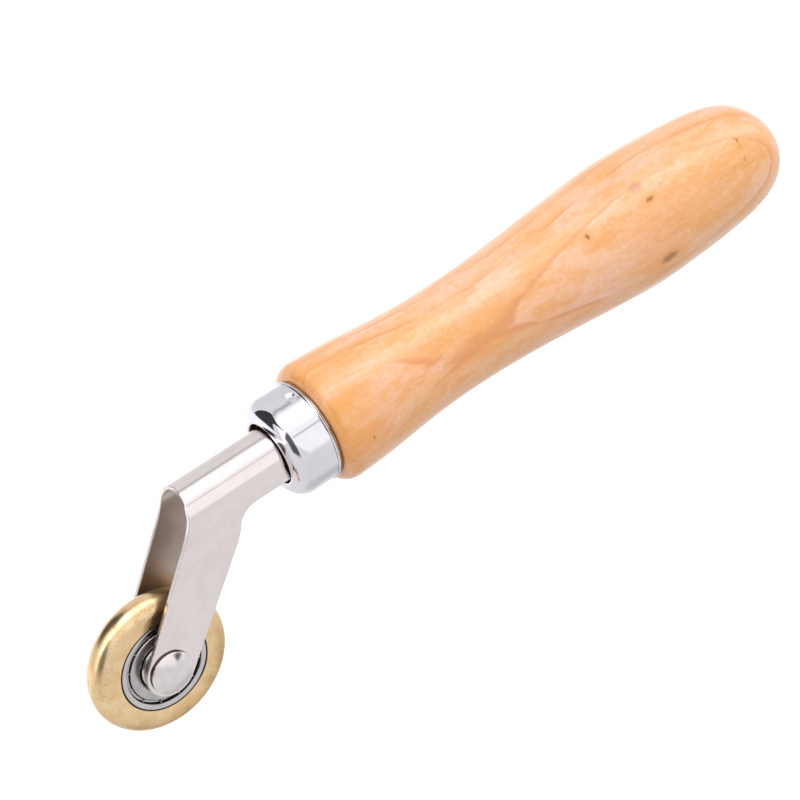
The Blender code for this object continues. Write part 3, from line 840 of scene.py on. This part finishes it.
def sheet_edge(made, loop):
    """Corners across the sheet's rounded edge, one column for each outline point, and their normals."""
    turns = [math.radians(90.0 * step / EDGE_STEPS) for step in range(EDGE_STEPS + 1)]
    layers = [(1.0, turn) for turn in turns] + [(-1.0, turn) for turn in reversed(turns)]
    columns, normals = [], []
    for index, spot in enumerate(loop):
        before = spot - loop[index - 1]
        after = loop[(index + 1) % len(loop)] - spot
        before, after = before / np.linalg.norm(before), after / np.linalg.norm(after)
        outs = [np.array((side[1], -side[0])) for side in (before, after)]
        mitre = (outs[0] + outs[1]) / max(0.35, 1.0 + outs[0] @ outs[1])
        column = []
        for sign, turn in layers:
            lift = sign * (SHEET / 2 - SHEET_CORNER + SHEET_CORNER * math.cos(turn))
            across, x = spot - mitre * SHEET_CORNER * (1.0 - math.sin(turn))
            corner, out = folded(across, x, lift)
            edge, _ = folded(across + mitre[0] * 1e-5, x + mitre[1] * 1e-5, lift)
            side_way = (edge - corner).normalized()
            column.append(made.verts.new(corner))
            normals.append((out * sign * math.cos(turn) + side_way * math.sin(turn)).normalized())
        columns.append(column)
    return columns, normals


def fill_sheet(made, loop, columns):
    """Both faces of the sheet: a strip over the fold and a flat face on each leg."""
    on_fold = [i for i, spot in enumerate(loop) if abs(spot[0]) <= FOLD_HALF + 1e-6]
    tang = [i for i in on_fold if abs(loop[i][1] - TANG_X) < 1e-9]
    nose = [i for i in on_fold if EAR_FRONT_TOP[0] < loop[i][1] < TANG_X - 1e-6]
    tang.sort(key=lambda i: loop[i][0])
    nose.sort(key=lambda i: loop[i][0])
    for layer in (0, -1):
        fill_strip(made, [columns[i][layer] for i in nose], [columns[i][layer] for i in tang],
                   [loop[i][0] for i in nose], [loop[i][0] for i in tang])
        for index, last, step in ((nose[-1], tang[-1], 1), (nose[0], tang[0], -1)):
            ring = []
            while index != last:
                ring.append(columns[index][layer])
                index = (index + step) % len(loop)
            made.faces.new(ring + [columns[last][layer]])


def make_fork():
    """The sheet, with rounded edges along its outline."""
    loop = [np.array(point) for point in fork_loop()]
    made = bmesh.new()
    columns, normals = sheet_edge(made, loop)
    for here, there in zip(columns, columns[1:] + columns[:1]):
        for low in range(len(here) - 1):
            made.faces.new((here[low], there[low], there[low + 1], here[low + 1]))
    fill_sheet(made, loop, columns)
    shown = piece("nickel_fork", made, fork_look(), "handle_and_fork", ["fork"],
                  sharp=0.0, weigh=False)
    spin = TOOL.to_3x3()
    shown.data.normals_split_custom_set_from_vertices([spin @ normal for normal in normals])


def fill_strip(made, left, right, left_at, right_at):
    """Faces between two rows of corners whose spacing differs."""
    i = j = 0
    while i < len(left) - 1 or j < len(right) - 1:
        left_next = left_at[i + 1] if i < len(left) - 1 else math.inf
        right_next = right_at[j + 1] if j < len(right) - 1 else math.inf
        if abs(left_next - right_next) < 1e-5:
            made.faces.new((left[i], right[j], right[j + 1], left[i + 1]))
            i, j = i + 1, j + 1
        elif left_next < right_next:
            made.faces.new((left[i], right[j], left[i + 1]))
            i += 1
        else:
            made.faces.new((left[i], right[j], right[j + 1]))
            j += 1


# --- Rivet and washers ---

def make_rivet(material):
    seat = FORK_HALF + SEAM
    dome = RIVET_DOME + RIVET_EDGE - RIVET_WALL
    ball_r = (RIVET_HEAD_R ** 2 + dome ** 2) / (2.0 * dome)
    top = seat + RIVET_DOME + RIVET_EDGE
    rim = math.degrees(math.acos(RIVET_HEAD_R / ball_r))
    cap = arc((0.0, top - ball_r), ball_r, rim, 90.0, 36)
    tail = -seat - RIVET_TAIL
    back = [(0.0, tail + RIVET_DIMPLE), (RIVET_DIMPLE_R, tail + RIVET_DIMPLE),
            (RIVET_DIMPLE_R + RIVET_DIMPLE, tail), (RIVET_TAIL_R - RIVET_TAIL_EDGE, tail),
            (RIVET_TAIL_R, tail + RIVET_TAIL_EDGE), (RIVET_TAIL_R, -seat), (RIVET_R, -seat)]
    head = [(RIVET_R, seat), (RIVET_HEAD_R - 0.00022, seat), (RIVET_HEAD_R, seat + 0.00018), *cap[:-1]]
    outline = rounded(back, 0.0004, 5, closed=False)
    outline += rounded(head, 0.00020, 5, closed=False) + [(0.0, top)]
    made = turned(outline, 128, about_axle, closed=False)
    piece("domed_rivet", made, material, "handle_and_fork", ["axle_rivet"])


def make_washers(material):
    low = HALF_WIDTH + SEAM
    high = FORK_HALF - SHEET - SEAM
    outline = rounded([(BORE_R, low), (WASHER_R, low), (WASHER_R, high), (BORE_R, high)], 0.00012)
    for side, sign in (("near", 1.0), ("far", -1.0)):
        made = turned([(r, sign * h) for r, h in outline], 96, about_axle)
        piece("spacer_" + side, made, material, "handle_and_fork",
              ["spacer_washer_" + side])


# --- Wheel and bearing ---

def make_wheel():
    bore = SEAT_R + SEAM
    rim_r = WHEEL_R - HALF_WIDTH
    flat = [(r, HALF_WIDTH) for r in np.linspace(bore + WHEEL_CHAMFER, rim_r, 8)[1:-1]]
    outline = [(bore, WHEEL_CHAMFER - HALF_WIDTH), (bore + WHEEL_CHAMFER, -HALF_WIDTH)]
    outline += [(r, -h) for r, h in flat] + arc((rim_r, 0.0), HALF_WIDTH, -90.0, 90.0, 56) + flat[::-1]
    outline += [(bore + WHEEL_CHAMFER, HALF_WIDTH), (bore, HALF_WIDTH - WHEEL_CHAMFER)]
    made = turned(outline, 256, about_axle)
    piece("wheel_rim", made, brass_look(), "wheel", ["brass_wheel"])


def groove(shoulder_r, steps):
    """The ball groove between a ring's shoulders, from its lower to its upper edge."""
    rise = math.degrees(math.asin(abs(PITCH_R - shoulder_r) / GROOVE_R))
    if shoulder_r > PITCH_R:
        return arc((PITCH_R, 0.0), GROOVE_R, rise - 90.0, 90.0 - rise, steps)
    return arc((PITCH_R, 0.0), GROOVE_R, 270.0 - rise, 90.0 + rise, steps)


def make_rings(material):
    top = HALF_WIDTH - RING_INSET
    inner = rounded([(INNER_SHOULDER_R, top), (BORE_R, top), (BORE_R, -top), (INNER_SHOULDER_R, -top)],
                    CORNER, closed=False)
    inner = [(INNER_SHOULDER_R - CORNER, top), *inner[1:-1], (INNER_SHOULDER_R - CORNER, -top)]
    inner += [(INNER_SHOULDER_R, CORNER - top), *groove(INNER_SHOULDER_R, 24),
              (INNER_SHOULDER_R, top - CORNER)]
    made = turned(inner, 128, about_axle)
    piece("inner_race", made, material, "handle_and_fork", ["bearing_inner_ring"])

    outer_r = SEAT_R - SEAM
    seat = top - SHIELD_SEAT_DEPTH
    half = [(OUTER_SHOULDER_R, seat), (SHIELD_SEAT_R, seat), (SHIELD_SEAT_R, top), (outer_r, top)]
    line = rounded([(r, -h) for r, h in half] + half[::-1], RACE_CORNER, closed=False)
    line += reversed(groove(OUTER_SHOULDER_R, 28))
    made = turned(line, 192, about_axle)
    piece("outer_race", made, material, "wheel", ["bearing_outer_ring"])


def make_shields(material):
    """Pressed covers with a rolled rim, crimped into the outer ring between narrow slits."""
    seat_r = SHIELD_SEAT_R - SHIELD_GAP
    top = SHIELD_TOP
    low = top - SHIELD_STEP
    face = [
        (SHIELD_INNER_R, top - 0.00055), (SHIELD_INNER_R + 0.00004, top - 0.00018),
        (SHIELD_INNER_R + 0.00020, top - 0.00003), (SHIELD_INNER_R + 0.00045, top),
        (SHIELD_CRIMP_R - 0.00050, top), (SHIELD_CRIMP_R - 0.00026, top - 0.00003),
        (SHIELD_CRIMP_R - 0.00010, top - 0.00014), (SHIELD_CRIMP_R, low + 0.00012),
        (SHIELD_CRIMP_R + 0.00012, low), (SHIELD_CRIMP_R + 0.00040, low), (seat_r - 0.00014, low),
        (seat_r, low - 0.00010),
    ]
    face = smooth_line(face, 3)
    outline = face + [(radius, height - SHIELD_SHEET) for radius, height in reversed(face)]
    step = 2.0 * math.pi / CRIMP_TABS

    def tab(radius, height, turn):
        off = abs((turn + TAB_TURN) % step - step / 2) * radius
        if off < TAB_HALF and radius > SHIELD_CRIMP_R + 0.00008:
            return radius, height + TAB_LIFT * min(1.0, (TAB_HALF - off) / TAB_EDGE)
        return radius, height

    for side, sign in (("near", 1.0), ("far", -1.0)):
        made = turned(outline, 720, lambda r, h, t, s=sign: about_axle(r, s * h, t), shape=tab)
        piece("shield_" + side, made, material, "wheel", ["bearing_shield_" + side],
              weigh=False)


def ribbon_height(off, lift):
    """Height of the cage's ribbon this far off a ball's middle; lift is 0 below it, its sheet above."""
    arch = (BALL_R + CAGE_PLAY + lift) ** 2 - off ** 2
    return max(CAGE_SPLIT + lift, math.sqrt(max(0.0, arch)))


def make_cage(material):
    """Two pressed ribbons with a round pocket over each ball."""
    steps = 30
    for side, sign in (("near", 1.0), ("far", -1.0)):
        made = bmesh.new()
        rings = []
        for step in range(steps * BALL_COUNT):
            turn = 2.0 * math.pi * step / (steps * BALL_COUNT)
            off = (turn - round(step / steps) * 2.0 * math.pi / BALL_COUNT) * PITCH_R
            low, high = ribbon_height(off, 0.0), ribbon_height(off, CAGE_SHEET)
            section = rounded([(CAGE_INNER_R, low), (CAGE_OUTER_R, low), (CAGE_OUTER_R, high),
                               (CAGE_INNER_R, high)], 0.00006, 2)
            rings.append([made.verts.new(about_axle(r, sign * h, turn)) for r, h in section])
        for ring, following in zip(rings, rings[1:] + rings[:1]):
            for corner in range(len(ring)):
                after = (corner + 1) % len(ring)
                made.faces.new((ring[corner], ring[after], following[after], following[corner]))
        piece("ball_cage_" + side, made, material, "cage", ["cage_half_" + side])


def make_balls(material):
    for ball in range(BALL_COUNT):
        turn = 2.0 * math.pi * ball / BALL_COUNT
        made = bmesh.new()
        spot = Matrix.Translation(about_axle(PITCH_R, 0.0, turn))
        bmesh.ops.create_uvsphere(made, u_segments=32, v_segments=20, radius=BALL_R, matrix=spot)
        number = str(ball + 1)
        piece("ball_" + number, made, material, "ball_" + number,
              ["bearing_ball_" + number], sharp=0.0, weigh=False)


# --- Studio ---
WALL_LIGHT = 0.86
FLOOR_R = 1.5                  # of the flat part
FLOOR_BEND = 1.2               # radius of the curve from the floor up into the walls
WALL_HEIGHT = 6.0
FLAG_CENTRE = (-0.0315, 0.0755, -0.0515)
FLAG_AIM = (0.030, 0.028, 0.0)
FLAG_OUTLINE = ((0.068, 0.020), (0.020, 0.033), (-0.034, 0.038), (-0.050, 0.020), (-0.060, -0.010),
                (-0.102, -0.044), (-0.090, -0.053), (-0.052, -0.028), (-0.023, -0.021), (-0.002, -0.040),
                (0.016, -0.045), (0.058, -0.010))
CAMERA_PLACE = (-0.124692, 0.322187, 0.368032)
CAMERA_TURN = (-27.425, -36.007, -16.197)
CAMERA_LENS = 117.0


def make_world():
    """One long soft box over pale walls; directions are the tool's: x, and the angle from y to z."""
    world = bpy.data.worlds.new("studio")
    bpy.context.scene.world = world
    world.use_nodes = True
    look = Look(world.node_tree)
    way = look.add("ShaderNodeTexCoord").outputs["Generated"]
    rows = TOOL.to_3x3().transposed()
    along, y, z = [look.vector("DOT_PRODUCT", way, tuple(row)) for row in rows]
    turn = look.times(look.maths("ARCTAN2", z, y), 180.0 / math.pi)

    # The box, its bright core, a wash of light from the floor, and dark places that reflections show.
    tilted = look.maths("SUBTRACT", turn, look.times(along, 30.0))
    box = look.times(look.span(turn, -32.0, 2.0), look.span(tilted, 79.0, 92.0, 1.0, 0.0))
    core = look.band(turn, 0.0, 26.0, 11.0)
    wash = look.band(turn, -130.0, -94.0, 8.0)
    seam = look.maths("MAXIMUM", look.times(look.band(turn, -24.0, -15.0, 4.0), 0.42),
                      look.times(look.band(turn, 47.0, 50.5, 2.0), 0.45))
    seam = look.times(seam, look.band(along, -0.5, 0.5, 0.1))
    gap = look.times(look.band(turn, 74.0, 98.0, 5.0), look.band(along, 0.52, 0.80, 0.05))
    end = look.times(look.band(turn, 26.0, 100.0, 9.0), look.band(along, -0.94, -0.60, 0.04))
    round_turn = look.maths("FLOORED_MODULO", turn, 360.0)
    below = look.times(look.band(round_turn, 162.0, 195.0, 12.0), look.band(along, -0.25, 0.60, 0.12))
    light = WALL_LIGHT
    for mask, gain in ((box, 0.30), (core, 1.90), (wash, 0.35)):
        light = look.maths("ADD", light, look.times(mask, gain))
    for mask, depth in ((seam, 1.0), (gap, 0.90), (end, 0.88), (below, 0.24)):
        light = look.times(light, look.maths("SUBTRACT", 1.0, look.times(mask, depth)))
    sky = look.tree.nodes["Background"]
    look.put(sky.inputs["Strength"], light)
    sky.inputs["Color"].default_value = rgb(1.0, 0.985, 0.985)


def make_floor():
    """A wide pale bowl: a flat floor that curves up into walls, seen by the camera only."""
    low = CAD_BOX[0].z - HAND_TURNED
    outline = [(share * FLOOR_R, low) for share in (0.0, 0.1, 0.3, 0.6, 1.0)]
    outline += [(FLOOR_R + FLOOR_BEND * math.sin(t), low + FLOOR_BEND * (1.0 - math.cos(t)))
                for t in np.linspace(0.1, math.pi / 2, 16)]
    outline += [(FLOOR_R + FLOOR_BEND, low + WALL_HEIGHT)]
    mesh = mesh_from("studio_floor", turned(outline, 96, about_axle, closed=False))
    mesh.shade_smooth()
    material, look, shader = new_look("pale_floor")
    speck = look.noise(look.place(), 0.02, 2.0)
    look.put(shader.inputs["Base Color"], look.mix(speck, rgb(0.90, 0.90, 0.90), rgb(0.93, 0.93, 0.93)))
    shader.inputs["Roughness"].default_value = 0.9
    shader.inputs["Specular IOR Level"].default_value = 0.0
    shader.inputs["Emission Color"].default_value = rgb(1.0, 1.0, 1.0)
    shader.inputs["Emission Strength"].default_value = 0.45
    mesh.materials.append(material)
    floor = linked("studio_floor", mesh)
    floor.visible_glossy = False
    floor.visible_diffuse = False
    floor.visible_shadow = False


def make_flag():
    """A near-black card below the tool's nose, which only reflections see."""
    made = bmesh.new()
    centre = Vector(FLAG_CENTRE)
    aim = (Vector(FLAG_AIM) - centre).normalized()
    along = Vector((1.0, 0.0, 0.0)).cross(aim).normalized()
    up = aim.cross(along)
    edge = smooth_line([*FLAG_OUTLINE, FLAG_OUTLINE[0]], 6)[:-1]
    made.faces.new([made.verts.new(centre + along * a + up * b) for a, b in edge])
    mesh = mesh_from("black_flag", made)
    material, look, shader = new_look("black_card")
    speck = look.noise(look.place(), 0.01, 2.0)
    look.put(shader.inputs["Base Color"],
             look.mix(speck, rgb(0.016, 0.015, 0.019), rgb(0.060, 0.056, 0.064)))
    shader.inputs["Roughness"].default_value = 0.9
    mesh.materials.append(material)
    flag = linked("black_flag", mesh)
    flag.matrix_world = TOOL
    flag.visible_camera = False
    flag.visible_diffuse = False
    flag.visible_shadow = False


def make_camera():
    """The photograph's view: from above the wheel's side, rolled so that the handle climbs."""
    data = bpy.data.cameras.new("camera")
    data.sensor_width = 36.0
    data.lens = CAMERA_LENS
    data.clip_start = 0.02
    data.clip_end = 20.0
    camera = linked("camera", data)
    turn = Euler([math.radians(angle) for angle in CAMERA_TURN], "XYZ").to_matrix().to_4x4()
    camera.matrix_world = TOOL @ Matrix.Translation(CAMERA_PLACE) @ turn
    bpy.context.scene.camera = camera
    bpy.context.scene.view_settings.view_transform = "Standard"


# --- Build ---

make_camera()
make_world()
make_floor()
make_flag()

rivet_steel = rivet_look()
# The bearing's steels get painted shade in their seams and grooves.
ground_steel, _, _ = turned_metal_look(
    "bearing_steel", GROUND_STEEL, (0.12, 0.22), 0.00009, 0.0000008,
    ((SEAT_R, 0.00016, HALF_WIDTH + 0.001), (SHIELD_SEAT_R, 0.00008, HALF_WIDTH - 0.00022)))
pressed_steel, _, _ = turned_metal_look(
    "pressed_steel", PRESSED_STEEL, (0.20, 0.34), 0.00020, 0.0000012,
    ((SHIELD_CRIMP_R, 0.00012, SHIELD_TOP - 0.00030), (SHIELD_SEAT_R, 0.00012, SHIELD_TOP)))

make_handle()
make_ferrule()
make_fork()
make_rivet(rivet_steel)
make_washers(rivet_steel)
make_wheel()
make_rings(ground_steel)
make_shields(pressed_steel)
make_cage(pressed_steel)
make_balls(ground_steel)
